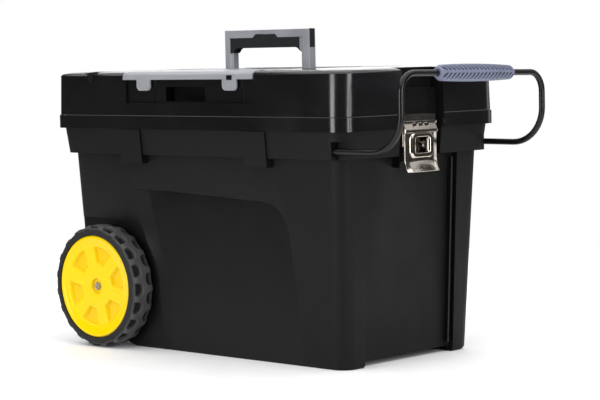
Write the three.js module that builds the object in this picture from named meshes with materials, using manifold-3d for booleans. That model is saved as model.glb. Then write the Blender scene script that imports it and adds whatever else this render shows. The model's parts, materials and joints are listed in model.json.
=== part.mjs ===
// Wheeled carpenter toolbox: a deep tub on two wheels, a hinged lid with two small-parts
// organizers, a fold-down carry handle, a slide-out pull handle and a steel draw latch.
// Millimetres, +Z up. +X runs along the box towards the latch end, -Y is the near long side.
import * as THREE from 'three';
import { mergeVertices } from 'three/addons/utils/BufferGeometryUtils.js';
import Module from 'manifold-3d';

const wasm = await Module();
wasm.setup();

// ---------- driving dimensions ----------
const GAP = 0.3;                    // clearance between neighbouring pieces
const WALL = 3;                     // general wall thickness of the mouldings
const REACH = 400;                  // longer than any cut has to run

const LID_HALF_X = 306.5;           // lid flange outline, the longest part of the box itself
const LID_HALF_Y = 175;
const LID_CORNER = 28;
const RIM_Z = 338;                  // parting plane between tub rim and lid flange
const SEAM_Z = 359;                 // top of the lid's flange band
const SHOULDER_Z = 419;             // where the lid's sides start to crown over
const DECK_Z = 425;                 // flat top of the lid
const SHOULDER = 24;                // how far the crown runs inwards

const SKIRT_Z = 299;                // lower edge of the tub's rim skirt
const SKIRT_IN_TOP = 6.3;           // skirt set in from the lid flange, at its top
const SKIRT_IN_LOW = 10.5;          // and at its lower edge
const TUB_IN = 20.5;                // tub wall set in from the lid flange, under the skirt
const DRAFT = 0.046;                // wall taper, mm per mm of height
const TUB_CORNER = 22;
const FLOOR_Z = 8;                  // underside of the raised floor
const LIP_Z = 345;                  // top of the locating lip inside the lid

const AXLE_X = -205;
const AXLE_Z = 94.5;
const AXLE_R = 5;
const TYRE_R = 94.5;
const HUB_R = 79;
const WHEEL_W = 42;
const WHEEL_OUT = 187.5;            // outer face of each wheel from the middle plane
const WELL_R = 103;
const WELL_FLOOR = 141;             // flat floor of the wheel well, from the middle plane
const TUNNEL_Z = 112;               // roof of the axle tunnel under the tub
const TUNNEL_X = -148;

const ORG_X = -5;                   // middle of the organizers along the lid
const ORG_SEAT = 139;               // half length of the cover's seat
const ORG_BIN = 131.5;              // half length of the bin
const COVER_HALF = 137;
const BIN_FRONT = 167;              // outer face of the bin's front wall
const BIN_FLOOR = 377;
const COVER_AXIS_Y = 79;
const COVER_AXIS_Z = 424.2;

const CARRY_HALF = 89;              // half length of the carry handle's frame
const CARRY_X = 2;
const CARRY_TOP = 484.5;
const CARRY_PIVOT_Z = 416.5;
const CARRY_T = 14;                 // frame thickness
const CARRY_LEG = 15;
const CARRY_POCKET_LOW = 408;       // floor of the pocket it folds into

const GROOVE_X = -217.5;            // V groove across the lid
const GROOVE_HALF = 10.4;
const GROOVE_DEEP = 17;

const LATCH_HALF = 46;              // half width of the latch recess in lid and rim
const LATCH_WALL = 289;             // its back wall
const LATCH_DEEP = 280;             // the deeper finger space above it
const LATCH_STEP_Z = 395;

const WIRE_R = 4.5;
const WIRE_Y = 159.3;               // arms of the pull handle
const WIRE_Z = 311;
const WIRE_TOP = 415.6;
const WIRE_OUT = 397;               // how far out the pull handle stands
const WIRE_END = 60;                // inner ends of its arms
const BEND_LOW = 52;
const BEND_TOP = 28;
const GUIDE_X = 275;                // where the arms leave the rim
const GRIP_HALF = 82;
const GRIP_MID_Y = 6;               // the grip sits a little off the middle of the bar

const HINGE_X = -313.5;
const HINGE_Z = 338;
const HINGE_R = 6;

const ORIGIN_SHIFT = -45;           // the part's origin is under the middle of its outline

// ---------- materials ----------
const finish = (color, roughness, metalness = 0) =>
  new THREE.MeshStandardMaterial({ color, roughness, metalness });
const blackTub = finish(0x202124, 0.62);
const blackLid = finish(0x18191b, 0.38);
const clearPlastic = finish(0xd9dde2, 0.2);
const greyPlastic = finish(0x8c8e94, 0.5);
const darkGrip = finish(0x2d2f32, 0.7);
const blueGrip = finish(0x969cb4, 0.6);
const blackWire = finish(0x141416, 0.35, 0.4);
const yellowHub = finish(0xffdc14, 0.35);
const rubber = finish(0x323234, 0.85);
const nickel = finish(0xb9b0a4, 0.25, 1);
const steel = finish(0x9a9da1, 0.35, 1);

// ---------- solids ----------
function solid(geometry) {
  geometry.deleteAttribute('normal');
  geometry.deleteAttribute('uv');
  const merged = mergeVertices(geometry, 1e-4);
  return new wasm.Manifold(new wasm.Mesh({
    numProp: 3,
    vertProperties: new Float32Array(merged.attributes.position.array),
    triVerts: new Uint32Array(merged.index.array),
  }));
}

function box(x0, x1, y0, y1, z0, z1) {
  const geometry = new THREE.BoxGeometry(x1 - x0, y1 - y0, z1 - z0);
  geometry.translate((x0 + x1) / 2, (y0 + y1) / 2, (z0 + z1) / 2);
  return solid(geometry);
}

// A box between two distances from the middle plane, on the side that sign names.
function sideBox(sign, x0, x1, near, far, z0, z1) {
  return sign > 0 ? box(x0, x1, near, far, z0, z1) : box(x0, x1, -far, -near, z0, z1);
}

// A cylinder along Y, from y0 to y1.
function barY(x, z, radius, y0, y1, sides = 20) {
  const geometry = new THREE.CylinderGeometry(radius, radius, y1 - y0, sides);
  geometry.translate(x, (y0 + y1) / 2, z);
  return solid(geometry);
}

// A cylinder along X, from x0 to x1.
function barX(y, z, radius, x0, x1, sides = 16) {
  const geometry = new THREE.CylinderGeometry(radius, radius, x1 - x0, sides);
  geometry.rotateZ(Math.PI / 2);
  geometry.translate((x0 + x1) / 2, y, z);
  return solid(geometry);
}

function outline(points) {
  const shape = new THREE.Shape();
  points.forEach(([a, b], i) => (i ? shape.lineTo(a, b) : shape.moveTo(a, b)));
  shape.closePath();
  return shape;
}

// Extrudes an outline of (x, z) points along Y, from y0 to y1.
function prismY(points, y0, y1) {
  const geometry = new THREE.ExtrudeGeometry(outline(points), { depth: y1 - y0, bevelEnabled: false });
  geometry.rotateX(Math.PI / 2);
  geometry.translate(0, y1, 0);
  return solid(geometry);
}

// Extrudes an outline of (y, z) points along X, from x0 to x1.
function prismX(points, x0, x1) {
  const geometry = new THREE.ExtrudeGeometry(outline(points), { depth: x1 - x0, bevelEnabled: false });
  geometry.rotateX(Math.PI / 2);
  geometry.rotateZ(Math.PI / 2);
  geometry.translate(x0, 0, 0);
  return solid(geometry);
}

function roundedRect(halfX, halfY, radius) {
  const shape = new THREE.Shape();
  shape.moveTo(halfX, -halfY + radius);
  shape.lineTo(halfX, halfY - radius);
  shape.absarc(halfX - radius, halfY - radius, radius, 0, Math.PI / 2);
  shape.lineTo(-halfX + radius, halfY);
  shape.absarc(-halfX + radius, halfY - radius, radius, Math.PI / 2, Math.PI);
  shape.lineTo(-halfX, -halfY + radius);
  shape.absarc(-halfX + radius, -halfY + radius, radius, Math.PI, Math.PI * 1.5);
  shape.lineTo(halfX - radius, -halfY);
  shape.absarc(halfX - radius, -halfY + radius, radius, Math.PI * 1.5, Math.PI * 2);
  return shape;
}

// A solid with rounded-rectangle rings, each a [height, inset] pair, in rising order.
function ringSolid(halfX, halfY, radius, rings) {
  const shape = roundedRect(halfX, halfY, radius);
  const steps = rings.length - 1;
  const geometry = new THREE.ExtrudeGeometry(shape, {
    depth: steps, steps, bevelEnabled: false, curveSegments: 5,
  });
  const position = geometry.attributes.position;
  for (let i = 0; i < position.count; i += 1) {
    const [height, inset] = rings[Math.round(position.getZ(i))];
    position.setX(i, position.getX(i) - Math.sign(position.getX(i)) * inset);
    position.setY(i, position.getY(i) - Math.sign(position.getY(i)) * inset);
    position.setZ(i, height);
  }
  return solid(geometry);
}

function union(parts) {
  return parts.reduce((whole, part) => whole.add(part));
}

function cut(body, cutters) {
  return cutters.reduce((whole, cutter) => whole.subtract(cutter), body);
}

function both(make) {
  return [make(-1), make(1)];
}

const group = new THREE.Group();
group.position.x = ORIGIN_SHIFT;

function place(name, body, material) {
  const mesh = body.getMesh();
  const geometry = new THREE.BufferGeometry();
  geometry.setAttribute('position', new THREE.BufferAttribute(mesh.vertProperties, 3));
  geometry.setIndex(new THREE.BufferAttribute(mesh.triVerts, 1));
  geometry.computeVertexNormals();
  const piece = new THREE.Mesh(geometry, material);
  piece.name = name;
  group.add(piece);
  return piece;
}

const sideName = (sign) => (sign < 0 ? 'near' : 'far');

// ---------- tub ----------
const wallIn = (z) => TUB_IN + (SKIRT_Z - z) * DRAFT;      // tub wall set in from the flange

// The big shallow panel in each long side. Its floor is nearly upright, so it is deepest along the
// top edge. Each rim point is [x, z, run x, run z], where the run leads down the ramp to the floor.
function recessRim() {
  const round = 50;
  const arch = WELL_R + 3;
  const ramp = 14;
  const rim = [[198, -10, -5, 0]];
  for (let i = 0; i <= 6; i += 1) {
    const a = (i / 6) * (Math.PI / 2);
    rim.push([
      177 - round + round * Math.cos(a), 235 - round + round * Math.sin(a),
      -5 * Math.cos(a), -2 * Math.sin(a),
    ]);
  }
  rim.push([-60, 244, 0, -2], [-151, 245, 30, -2], [-143, 215, 27, 0], [-133, 190, 23, 4]);
  for (let i = 0; i <= 5; i += 1) {
    const a = (1 - i / 5) * 0.66;
    rim.push([
      AXLE_X + arch * Math.cos(a), AXLE_Z + arch * Math.sin(a), ramp * Math.cos(a), ramp * Math.sin(a),
    ]);
  }
  rim.push([AXLE_X + arch, -10, ramp, 0]);
  return rim;
}

function sideRecess(sign, grow) {
  const rim = recessRim();
  const shape = outline(rim.map(([x, z]) => [x, z]));
  const geometry = new THREE.ExtrudeGeometry(shape, { depth: 2, steps: 2, bevelEnabled: false });
  geometry.rotateX(Math.PI / 2);
  const position = geometry.attributes.position;
  for (let i = 0; i < position.count; i += 1) {
    const [x, z] = [position.getX(i), position.getZ(i)];
    const [, , runX, runZ] = rim.find(([a, b]) => Math.hypot(a - x, b - z) < 0.01);
    const ring = Math.round(-position.getY(i));
    const surface = LID_HALF_Y - wallIn(z);
    const floor = 139.3 + z * 0.0167;
    const out = [floor, surface, surface + 50][ring] - (ring < 2 ? grow : 0);
    const share = ring === 0 ? 1 : 0;
    const wider = grow * Math.sign(x - 20);
    position.setXYZ(i, x + share * runX + wider, sign * out, z + share * runZ + (z > 200 ? grow : 0));
  }
  if (sign > 0) flip(geometry);
  return solid(geometry);
}

function flip(geometry) {
  const position = geometry.attributes.position;
  for (let i = 0; i < position.count; i += 3) {
    const [x, y, z] = [position.getX(i), position.getY(i), position.getZ(i)];
    position.setXYZ(i, position.getX(i + 1), position.getY(i + 1), position.getZ(i + 1));
    position.setXYZ(i + 1, x, y, z);
  }
}

function wheelWell(sign, grow) {
  const near = WELL_FLOOR - grow;
  const round = barY(AXLE_X, AXLE_Z, WELL_R + grow, Math.min(sign * near, sign * 200),
    Math.max(sign * near, sign * 200), 48);
  const rear = sideBox(sign, -REACH, AXLE_X, near, 200, -10, AXLE_Z + WELL_R + grow);
  const under = sideBox(sign, -REACH, AXLE_X + 60, near, 200, -10, AXLE_Z);
  return union([round, rear, under]);
}

function endRecess(grow) {
  const low = 262.5 - grow;
  const high = low + 300 * DRAFT;
  return prismY([[low, -10], [350, -10], [350, SKIRT_Z], [high, SKIRT_Z]], -99 - grow, 99 + grow);
}

function axleTunnel(grow) {
  return box(-271 - grow, TUNNEL_X + grow, -137 - grow, 137 + grow, -10, TUNNEL_Z + grow);
}

// The rear of the underside slopes up, so the tub clears the ground when it is tipped to roll.
function rearSlope(grow) {
  return prismY([[-165 + grow, -10], [-165 + grow, grow], [-292, 58 + grow], [-292, -10]], -200, 200);
}

function tubShell() {
  const bodyOuter = ringSolid(LID_HALF_X, LID_HALF_Y, TUB_CORNER,
    [[0, wallIn(0) + 3], [4, wallIn(4)], [LIP_Z, wallIn(LIP_Z)]]);
  const skirtOuter = ringSolid(LID_HALF_X, LID_HALF_Y, LID_CORNER,
    [[SKIRT_Z, SKIRT_IN_LOW], [RIM_Z, SKIRT_IN_TOP]]);
  const skirtInner = ringSolid(LID_HALF_X, LID_HALF_Y, LID_CORNER,
    [[SKIRT_Z - 1, SKIRT_IN_LOW + WALL], [RIM_Z - WALL, SKIRT_IN_TOP + WALL]]);
  const skirt = skirtOuter.subtract(skirtInner);

  const ribs = [];
  for (const [left, right] of [[-160, -111], [101, 151]]) {
    for (const sign of [-1, 1]) ribs.push(guideRib(sign, left, right));
  }

  // Behind the notch at each front corner, the rim carries on as a set-in wall with an end web.
  const corners = both((sign) => union([
    sideBox(sign, GUIDE_X - WALL, 294, 150.3, 153.8, SKIRT_Z, RIM_Z - 1),
    sideBox(sign, GUIDE_X - WALL, GUIDE_X, 150.3, 166, SKIRT_Z, RIM_Z - 1),
    sideBox(sign, 290.5, 294, 120, 153.8, SKIRT_Z, RIM_Z - 1),
  ]));
  const latchPad = box(270, LATCH_WALL, -36, 36, 282, RIM_Z - 0.5);
  const latchSides = box(278, 296.5, -LATCH_HALF - WALL, LATCH_HALF + WALL, SKIRT_Z, RIM_Z);
  const outer = union([bodyOuter, skirt, ...ribs, ...corners]);

  const recesses = [
    ...both((sign) => sideRecess(sign, 0)), ...both((sign) => wheelWell(sign, 0)), endRecess(0),
  ];
  const notches = both((sign) => sideBox(sign, GUIDE_X, 330, 154.3, 190, 290, 324.5));
  const bore = WIRE_R + 0.6;
  const channels = both((sign) => sideBox(sign, -14, GUIDE_X + 5, WIRE_Y - bore, WIRE_Y + bore,
    WIRE_Z - bore, WIRE_Z + bore));
  const latchSpace = box(LATCH_WALL, 330, -LATCH_HALF, LATCH_HALF, 280, RIM_Z + 1);
  const lipGap = box(LATCH_DEEP - 2 * WALL, 330, -54, 54, RIM_Z, LIP_Z + 1);
  let body = cut(outer, recesses);
  body = body.add(latchSides).add(latchPad);
  body = cut(body, [...notches, ...channels, latchSpace, lipGap]);
  const bosses = both((sign) => barY(AXLE_X, AXLE_Z, 14, Math.min(sign * 136, sign * 144.9),
    Math.max(sign * 136, sign * 144.9), 24));
  body = body.add(union(bosses));

  let cavity = ringSolid(LID_HALF_X, LID_HALF_Y, TUB_CORNER - WALL,
    [[FLOOR_Z + WALL, wallIn(FLOOR_Z) + WALL], [LIP_Z + 5, wallIn(LIP_Z) + WALL]]);
  cavity = cut(cavity, [
    ...both((sign) => sideRecess(sign, WALL)), ...both((sign) => wheelWell(sign, WALL)),
    endRecess(WALL), axleTunnel(WALL), rearSlope(WALL),
  ]);
  const under = union([
    box(-REACH, REACH, -97, 97, -5, FLOOR_Z),
    box(-REACH, 258, -134, 134, -5, FLOOR_Z),
  ]);
  body = cut(body, [cavity, under, axleTunnel(0), rearSlope(0)]);
  const webs = [-48, 48].map((y) => box(-272, TUNNEL_X + 1, y - 1.5, y + 1.5, 30, TUNNEL_Z + 1));
  body = body.add(union(webs).subtract(rearSlope(0)));
  body = body.add(union(both(hingeBracketTub)));
  return cut(body, [
    barY(AXLE_X, AXLE_Z, AXLE_R + GAP, -REACH, REACH),
    barY(HINGE_X, HINGE_Z, 2 + GAP, -REACH, REACH, 16),
  ]);
}

// Hollow rib on the rim skirt: it guides the arm of the pull handle.
function guideRib(sign, left, right) {
  const face = (z) => 166.5 + (z - 286) * 0.085;
  const make = (inset, out, low) => {
    const geometry = new THREE.BoxGeometry(1, 1, 1);
    const position = geometry.attributes.position;
    for (let i = 0; i < position.count; i += 1) {
      const z = position.getZ(i) < 0 ? low : RIM_Z - 0.6 - inset;
      const taper = position.getZ(i) < 0 ? 5 : 0;
      const x = position.getX(i) < 0 ? left + inset + taper : right - inset;
      const inner = 151 + (inset ? 4 : 0);
      const y = (position.getY(i) < 0) === (sign > 0) ? inner : face(z) - out;
      position.setXYZ(i, x, sign * y, z);
    }
    return solid(geometry);
  };
  return make(0, 0, 286).subtract(make(WALL, WALL, 280));
}

// Knuckles of the lid hinge: the tub's two, then the lid's three between and outside them.
const TUB_KNUCKLES = [60, 100];
const LID_KNUCKLES = [[-58, 58], [102, 130], [-130, -102]];

function knuckle(y0, y1, low) {
  const round = barY(HINGE_X, HINGE_Z, HINGE_R, y0, y1, 20);
  const z0 = low ? HINGE_Z - HINGE_R : HINGE_Z + GAP;
  const z1 = low ? HINGE_Z - GAP : HINGE_Z + HINGE_R;
  const inner = low ? -LID_HALF_X + SKIRT_IN_TOP + 2 : -LID_HALF_X + 2;
  return round.add(box(HINGE_X, inner, y0, y1, z0, z1));
}

function hingeBracketTub(sign) {
  const [a, b] = TUB_KNUCKLES;
  return knuckle(Math.min(sign * a, sign * b), Math.max(sign * a, sign * b), true);
}

place('tub_shell', tubShell(), blackTub);

// ---------- axle and wheels ----------
place('axle', barY(AXLE_X, AXLE_Z, AXLE_R, -182, 182, 24), steel);

// Turns a closed (radius, distance from the middle plane) profile about the axle.
function turned(profile, sign, sides = 40) {
  const points = profile.map(([radius, out]) => new THREE.Vector2(radius, out));
  const geometry = new THREE.LatheGeometry(points, sides);
  if (sign < 0) geometry.rotateX(Math.PI);
  geometry.translate(AXLE_X, 0, AXLE_Z);
  return solid(geometry);
}

function tyre(sign) {
  const inner = WHEEL_OUT - WHEEL_W;
  const seat = HUB_R + GAP;
  return turned([
    [seat, inner + 1], [86, inner], [91.5, inner + 3], [TYRE_R, inner + 9],
    [TYRE_R, WHEEL_OUT - 9], [91.5, WHEEL_OUT - 3], [86, WHEEL_OUT], [seat, WHEEL_OUT - 1],
    [seat, inner + 1],
  ], sign);
}

function hub(sign) {
  const inner = WHEEL_OUT - WHEEL_W + 1;
  const bore = AXLE_R + GAP;
  const disc = turned([
    [bore, inner], [15, inner], [17, 168], [70, 168], [71, inner], [HUB_R, inner],
    [HUB_R, 184], [75, 186.5], [70, 185], [55, 182.5], [20, 182], [11.5, 181.5], [10.5, 178],
    [bore, 178], [bore, inner],
  ], sign);
  const pockets = [];
  for (let i = 0; i < 6; i += 1) {
    const geometry = new THREE.ExtrudeGeometry(outline([
      [33, -8], [63, -16], [63, 16], [33, 8],
    ]), { depth: 30, bevelEnabled: false });
    geometry.rotateX(Math.PI / 2);
    geometry.translate(0, sign > 0 ? 203 : -173, 0);
    geometry.rotateY((i + 0.75) * (Math.PI / 3));
    geometry.translate(AXLE_X, 0, AXLE_Z);
    pockets.push(solid(geometry));
  }
  return cut(disc, pockets);
}

function axleCap(sign) {
  return turned([
    [0, 182.3], [AXLE_R + GAP, 182.3], [AXLE_R + GAP, 178.4], [8, 178.4], [8, 180.4],
    [6.8, 183], [3.5, 185], [0, 185.4],
  ], sign, 16);
}

for (const sign of [-1, 1]) {
  place(`wheel_hub_${sideName(sign)}`, hub(sign), yellowHub);
  place(`tyre_${sideName(sign)}`, tyre(sign), rubber);
  place(`axle_cap_${sideName(sign)}`, axleCap(sign), nickel);
}

// ---------- lid ----------
// Section of the lid's crowned shoulder, as (distance in from the edge, drop below the deck).
const CROWN = [[0, 6], [1.6, 3.6], [5.5, 1.9], [12, 0.6], [SHOULDER, 0]];
const SIDE_IN = 2.6;                // lid side set in from its flange, at the shoulder

function coverProfile(lower, out) {
  // The organizer cover follows the crown: points from its hinge side to its front lip.
  const edge = LID_HALF_Y - SIDE_IN + 0.4 + out;
  const crown = [...CROWN].reverse().map(([inwards, drop]) => [
    edge - inwards, DECK_Z + 0.4 - drop - lower,
  ]);
  return [[COVER_AXIS_Y - (lower ? 3 : 0), DECK_Z + 0.4 - lower], ...crown];
}

function organizerCuts(sign) {
  const seat = [
    ...coverProfile(3.1, -3.1).map(([y, z]) => [sign * y, z]),
    [sign * (LID_HALF_Y - SIDE_IN - 2.7), 408], [sign * 190, 408], [sign * 190, 450],
    [sign * (COVER_AXIS_Y - 3), 450],
  ];
  const pocket = [sign * (BIN_FRONT + GAP), sign * 190];
  const left = ORG_X - ORG_BIN;
  const right = ORG_X + ORG_BIN;
  return [
    prismX(sign > 0 ? seat : seat.reverse(), ORG_X - ORG_SEAT, ORG_X + ORG_SEAT),
    box(left, right, Math.min(...pocket), Math.max(...pocket), BIN_FLOOR, 450),
    sideBox(sign, left + 2.5, right - 2.5, COVER_AXIS_Y + 3, BIN_FRONT - 2.5, BIN_FLOOR, 450),
    sideBox(sign, ORG_X - ORG_SEAT + 4, ORG_X + ORG_SEAT - 4, COVER_AXIS_Y - 3.2,
      COVER_AXIS_Y + 3.2, DECK_Z - 4.2, 450),
  ];
}

function binShell(sign) {
  return sideBox(sign, ORG_X - ORG_BIN - 2.5, ORG_X + ORG_BIN + 2.5, COVER_AXIS_Y + 0.5,
    LID_HALF_Y - 4, BIN_FLOOR - 2.5, DECK_Z - 2);
}

const FINGER_X = -12;
function fingerPocket(sign, grow) {
  return sideBox(sign, FINGER_X - 41.5 - grow, FINGER_X + 41.5 + grow, BIN_FRONT - 16 - grow,
    grow ? BIN_FRONT : BIN_FRONT + 10, 380 - grow, 401.5 + grow);
}

function coverSockets(sign) {
  // Two lugs at the ends of the cover's inner edge, with the sockets its pegs turn in.
  return [-1, 1].map((end) => {
    const middle = ORG_X + end * (COVER_HALF - 8);
    return box(middle - 4, middle + 4, sign * COVER_AXIS_Y - 3, sign * COVER_AXIS_Y + 3,
      DECK_Z - 6, DECK_Z - 0.2);
  });
}

function lidShell() {
  const upperIn = [[SEAM_Z - 0.5, 1.4], [SHOULDER_Z, SIDE_IN]];
  const crownRings = CROWN.slice(1).map(([inwards, drop]) => [DECK_Z - drop, SIDE_IN + inwards]);
  const upper = ringSolid(LID_HALF_X, LID_HALF_Y, LID_CORNER, [...upperIn, ...crownRings]);
  const flange = ringSolid(LID_HALF_X, LID_HALF_Y, LID_CORNER,
    [[RIM_Z + GAP, 0], [SEAM_Z - 0.8, 0], [SEAM_Z, 1]]);
  const hollow = ringSolid(LID_HALF_X, LID_HALF_Y, LID_CORNER - WALL, [
    [RIM_Z - 1, WALL], [SEAM_Z, WALL + 1.4], [414, SIDE_IN + WALL], [419, SIDE_IN + 10],
    [DECK_Z - WALL, SIDE_IN + 28],
  ]);
  const grooveTop = DECK_Z + 3;
  const wide = (GROOVE_HALF * (GROOVE_DEEP + 3)) / GROOVE_DEEP;
  const groove = prismY([
    [GROOVE_X - wide, grooveTop], [GROOVE_X - 1, DECK_Z - GROOVE_DEEP],
    [GROOVE_X + 1, DECK_Z - GROOVE_DEEP], [GROOVE_X + wide, grooveTop],
  ].reverse(), -200, 200);
  const grooveBacking = prismY([
    [GROOVE_X - GROOVE_HALF - 4, DECK_Z - 2], [GROOVE_X - 3, DECK_Z - GROOVE_DEEP - WALL],
    [GROOVE_X + 3, DECK_Z - GROOVE_DEEP - WALL], [GROOVE_X + GROOVE_HALF + 4, DECK_Z - 2],
  ].reverse(), -LID_HALF_Y + 5, LID_HALF_Y - 5);
  const low = CARRY_POCKET_LOW;
  const pocketEnd = CARRY_HALF + 6;
  const carryBacking = box(CARRY_X - pocketEnd - WALL, CARRY_X + pocketEnd + WALL, -13, 76,
    low - WALL, DECK_Z - 1);
  const carryPocket = box(CARRY_X - pocketEnd, CARRY_X + pocketEnd, -10, 73, low, 450);
  const latchBacking = union([
    box(LATCH_WALL - WALL, 303, -LATCH_HALF - WALL, LATCH_HALF + WALL, RIM_Z + GAP, 421),
    box(LATCH_DEEP - WALL, 295, -LATCH_HALF - WALL, LATCH_HALF + WALL, LATCH_STEP_Z - WALL, 422),
  ]);
  const latchSpace = union([
    box(LATCH_WALL, 330, -LATCH_HALF, LATCH_HALF, RIM_Z - 1, 450),
    box(LATCH_DEEP, 330, -LATCH_HALF, LATCH_HALF, LATCH_STEP_Z, 450),
  ]);
  let body = union([flange, upper]).subtract(hollow);
  body = union([body, grooveBacking, carryBacking, latchBacking, ...both(binShell)]);
  body = cut(body, [groove, carryPocket, latchSpace]);
  body = cut(body, both(organizerCuts).flat());
  body = body.add(union(both((sign) => fingerPocket(sign, 2))
    .map((shell, i) => shell.intersect(box(-REACH, REACH, -BIN_FRONT, BIN_FRONT, 370, 410)))));
  body = cut(body, both((sign) => fingerPocket(sign, 0)));
  body = body.add(union(both((sign) => union([-1, 1].map((end) => sideBox(sign,
    ORG_X + end * 91 - 19, ORG_X + end * 91 + 19, BIN_FRONT - 1, BIN_FRONT + 1.6, 380, 401))))));
  body = body.add(union(both(coverSockets).flat()));
  body = body.add(union([-1, 1].map((end) => carryLug(end))));
  body = body.add(union(LID_KNUCKLES.map(([y0, y1]) => knuckle(y0, y1, false))));
  return cut(body, [
    ...both((sign) => barX(sign * COVER_AXIS_Y, COVER_AXIS_Z, 1.7, ORG_X - COVER_HALF,
      ORG_X + COVER_HALF)),
    barX(0, CARRY_PIVOT_Z, 3 + GAP, CARRY_X - CARRY_HALF - 30, CARRY_X + CARRY_HALF + 30),
    barY(HINGE_X, HINGE_Z, 2 + GAP, -REACH, REACH, 16),
  ]);
}

// Lug on the pocket's end wall that carries the carry handle's pivot pin.
function carryLug(end) {
  const wall = CARRY_X + end * (CARRY_HALF + 6 + WALL);
  const inner = CARRY_X + end * (CARRY_HALF + 1.2);
  return box(Math.min(wall, inner), Math.max(wall, inner), -7, 7, CARRY_POCKET_LOW - 1, DECK_Z - 2);
}

place('lid_shell', lidShell(), blackLid);
place('hinge_pin', barY(HINGE_X, HINGE_Z, 2, -132, 132, 16), steel);

// ---------- organizers ----------
function organizerCover(sign) {
  const top = coverProfile(0, 0);
  const under = coverProfile(2.5, -2.5).slice(1).reverse();
  const profile = [
    ...top, [LID_HALF_Y - SIDE_IN + 0.4, 412.5], [LID_HALF_Y - SIDE_IN - 2.1, 412.5], ...under,
    [COVER_AXIS_Y, DECK_Z - 2.1],
  ].map(([y, z]) => [sign * y, z]);
  const plate = prismX(sign < 0 ? profile : profile.reverse(), ORG_X - COVER_HALF, ORG_X + COVER_HALF);
  const barrel = barX(sign * COVER_AXIS_Y, COVER_AXIS_Z, 2, ORG_X - COVER_HALF + 14,
    ORG_X + COVER_HALF - 14);
  const pegs = [-1, 1].map((end) => barX(sign * COVER_AXIS_Y, COVER_AXIS_Z, 1.4,
    ORG_X + end * (COVER_HALF - 9) - 6, ORG_X + end * (COVER_HALF - 9) + 6));
  const corners = [-1, 1].map((end) => {
    const x = ORG_X + end * (COVER_HALF - 4);
    return sideBox(sign, x - 9.7, x + 9.7, COVER_AXIS_Y - 6, COVER_AXIS_Y + 5, 410, 450);
  });
  const tabs = [-1, 1].map((end) => {
    const x = ORG_X + end * 91;
    const front = LID_HALF_Y - SIDE_IN + 0.4;
    return sideBox(sign, x - 14, x + 14, front - 2, front, 396.5, 414);
  });
  return union([cut(plate, corners), barrel, ...pegs, ...tabs]);
}

for (const sign of [-1, 1]) {
  place(`organizer_cover_${sideName(sign)}`, organizerCover(sign), clearPlastic);
}

// Removable dividers stand across each bin, clear of its finger pocket.
for (const sign of [-1, 1]) {
  [-88, 68].forEach((x, i) => {
    const plate = sideBox(sign, x - 0.9, x + 0.9, COVER_AXIS_Y + 3.4, BIN_FRONT - 2.9,
      BIN_FLOOR + GAP, 416);
    place(`bin_divider_${sideName(sign)}_${i + 1}`, plate, blackLid);
  });
}

// ---------- carry handle ----------
function carryFrame() {
  const left = CARRY_X - CARRY_HALF;
  const right = CARRY_X + CARRY_HALF;
  const low = CARRY_PIVOT_Z - 4.4;        // short enough to turn clear of the pocket's floor
  const shape = outline([
    [left, low], [left + CARRY_LEG, low], [left + CARRY_LEG, CARRY_TOP - 12],
    [right - CARRY_LEG, CARRY_TOP - 12], [right - CARRY_LEG, low],
    [right, low], [right, CARRY_TOP - 2], [right - 2, CARRY_TOP],
    [left + 2, CARRY_TOP], [left, CARRY_TOP - 2],
  ]);
  const geometry = new THREE.ExtrudeGeometry(shape, { depth: CARRY_T, bevelEnabled: false });
  geometry.rotateX(Math.PI / 2);
  geometry.translate(0, CARRY_T / 2, 0);
  const bore = barX(0, CARRY_PIVOT_Z, 3 + GAP, left - 5, right + 5);
  return solid(geometry).subtract(bore);
}

function carryGrip() {
  const left = CARRY_X - CARRY_HALF + CARRY_LEG + GAP;
  const right = CARRY_X + CARRY_HALF - CARRY_LEG - GAP;
  const top = CARRY_TOP - 12 - GAP;
  return prismY([
    [left, top], [left, top - 22], [left + 8, top - 15.5], [right - 8, top - 15.5],
    [right, top - 22], [right, top],
  ], -CARRY_T / 2, CARRY_T / 2);
}

place('carry_handle_frame', carryFrame(), greyPlastic);
place('carry_handle_grip', carryGrip(), darkGrip);
for (const end of [-1, 1]) {
  const outer = CARRY_X + end * (CARRY_HALF + 6 + WALL - 0.5);
  const inner = CARRY_X + end * (CARRY_HALF - CARRY_LEG + 2);
  place(`carry_pin_${end < 0 ? 'rear' : 'front'}`,
    barX(0, CARRY_PIVOT_Z, 3, Math.min(outer, inner), Math.max(outer, inner)), steel);
}

// ---------- pull handle ----------
const KAPPA = 0.5523;               // Bezier arm of a quarter circle, as a share of its radius

function quarter(from, corner, to) {
  const arm = (end) => end.clone().lerp(corner, KAPPA);
  return new THREE.CubicBezierCurve3(from, arm(from), arm(to), to);
}

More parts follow.
